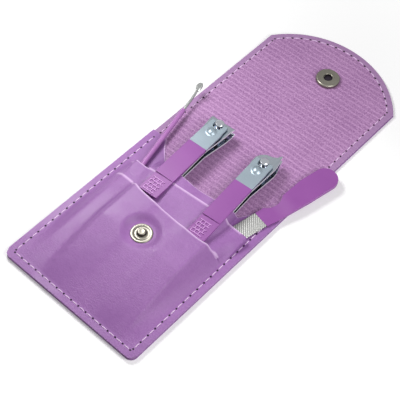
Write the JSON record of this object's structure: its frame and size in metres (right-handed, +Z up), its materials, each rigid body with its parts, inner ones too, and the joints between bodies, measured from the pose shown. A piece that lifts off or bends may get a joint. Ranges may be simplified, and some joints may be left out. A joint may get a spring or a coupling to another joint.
{
  "type": "manicure set case",
  "caption": "Folding leather manicure case, shown open, with a snap flap and a pocket that holds nail clippers, a nail file and an ear pick.",
  "frame": {"origin": "middle of the pocket's back face, on the surface that the open case lies on", "axes": "+X across the case, +Y from the pocket towards the flap, +Z up out of the pocket"},
  "size_m": [0.0876, 0.2084, 0.0123],
  "materials": {
    "outer_leather": "smooth purple artificial leather with a faint grain",
    "panel_leather": "smooth purple artificial leather, slightly glossy",
    "lining": "purple fabric with fine ribs",
    "thread": "pale pink sewing thread",
    "snap_metal": "worn nickel plate",
    "jaw_steel": "polished chrome plate",
    "lever_steel": "polished chrome plate",
    "pin_steel": "bright steel",
    "grip_plastic": "moulded purple plastic",
    "file_steel": "steel cut with fine crossed teeth",
    "file_plastic": "moulded purple plastic",
    "pick_steel": "polished steel",
    "pick_plastic": "moulded purple plastic"
  },
  "bodies": {
    "case": {"back_skin": "outer_leather", "back_lining": "lining", "front_panel": "panel_leather", "pocket_stitching": "thread", "snap_stud": "snap_metal", "snap_stud_back": "snap_metal"},
    "spine": {"spine_skin": "outer_leather", "spine_lining": "lining", "spine_stitching": "thread"},
    "flap": {"flap_skin": "outer_leather", "flap_lining": "lining", "flap_stitching": "thread", "snap_socket": "snap_metal", "snap_spring": "snap_metal", "snap_cap": "snap_metal"},
    "straight_clipper": {"straight_lower_jaw": "jaw_steel", "straight_tail_rivet": "pin_steel"},
    "straight_top_jaw": {"straight_upper_jaw": "jaw_steel"},
    "straight_pivot": {"straight_post": "pin_steel", "straight_cross_pin": "pin_steel"},
    "straight_handle": {"straight_lever": "lever_steel", "straight_grip": "grip_plastic"},
    "pointed_clipper": {"pointed_lower_jaw": "jaw_steel", "pointed_tail_rivet": "pin_steel"},
    "pointed_top_jaw": {"pointed_upper_jaw": "jaw_steel"},
    "pointed_pivot": {"pointed_post": "pin_steel", "pointed_cross_pin": "pin_steel"},
    "pointed_handle": {"pointed_lever": "lever_steel", "pointed_grip": "grip_plastic"},
    "file": {"file_blade": "file_steel", "file_handle": "file_plastic"},
    "pick": {"pick_shaft": "pick_steel", "pick_handle": "pick_plastic"}
  },
  "joints": [
    {"name": "spine_fold", "type": "hinge", "parent": "case", "child": "spine", "pos_m": [0, 0.05445, 0.0016], "axis": [1, 0, 0], "range_deg": [0, 90], "deforming": ["spine_skin", "spine_lining", "spine_stitching"]},
    {"name": "flap_fold", "type": "hinge", "parent": "spine", "child": "flap", "pos_m": [0, 0.06635, 0.0016], "axis": [1, 0, 0], "range_deg": [0, 91.4], "deforming": ["flap_skin", "flap_lining", "flap_stitching"]},
    {"name": "straight_stow", "type": "slide", "parent": "case", "child": "straight_clipper", "axis": [0.0471, -0.9989, 0], "range_m": [0, 0.0129]},
    {"name": "straight_squeeze", "type": "hinge", "parent": "straight_clipper", "child": "straight_top_jaw", "pos_m": [-0.01192, 0.01211, 0.00464], "axis": [0.9989, 0.0471, 0], "range_deg": [-3, 0], "stiffness_Nm_per_rad": 0.3, "springref_deg": 2.86},
    {"name": "straight_turn", "type": "hinge", "parent": "straight_clipper", "child": "straight_pivot", "pos_m": [-0.0143, 0.06255, 0.01071], "axis": [0, 0, 1], "range_deg": [-180, 0]},
    {"name": "straight_flip", "type": "hinge", "parent": "straight_pivot", "child": "straight_handle", "pos_m": [-0.0143, 0.06255, 0.01071], "axis": [0.9989, 0.0471, 0], "range_deg": [-170, 0]},
    {"name": "pointed_stow", "type": "slide", "parent": "case", "child": "pointed_clipper", "axis": [0.0715, -0.9974, 0], "range_m": [0, 0.0159]},
    {"name": "pointed_squeeze", "type": "hinge", "parent": "pointed_clipper", "child": "pointed_top_jaw", "pos_m": [0.02001, 0.00938, 0.00464], "axis": [0.9974, 0.0715, 0], "range_deg": [-2.7, 0], "stiffness_Nm_per_rad": 0.3, "springref_deg": 2.86},
    {"name": "pointed_turn", "type": "hinge", "parent": "pointed_clipper", "child": "pointed_pivot", "pos_m": [0.0164, 0.05975, 0.01071], "axis": [0, 0, 1], "range_deg": [-180, 0]},
    {"name": "pointed_flip", "type": "hinge", "parent": "pointed_pivot", "child": "pointed_handle", "pos_m": [0.0164, 0.05975, 0.01071], "axis": [0.9974, 0.0715, 0], "range_deg": [-170, 0]},
    {"name": "file_stow", "type": "slide", "parent": "case", "child": "file", "axis": [-0.247, -0.969, 0], "range_m": [0, 0.0298]},
    {"name": "pick_stow", "type": "slide", "parent": "case", "child": "pick", "axis": [0.2079, -0.9781, 0], "range_m": [0, 0.0248]}
  ],
  "couplings": [
    {"joint": "spine_fold", "follows": "pointed_stow", "rad_per_m": 98.792},
    {"joint": "flap_fold", "follows": "pointed_stow", "rad_per_m": 100.33},
    {"joint": "straight_stow", "follows": "pointed_stow", "ratio": 0.81132},
    {"joint": "straight_turn", "follows": "straight_flip", "ratio": 1.0588},
    {"joint": "pointed_turn", "follows": "pointed_flip", "ratio": 1.0588},
    {"joint": "file_stow", "follows": "pointed_stow", "ratio": 1.8742},
    {"joint": "pick_stow", "follows": "pointed_stow", "ratio": 1.5597}
  ]
}
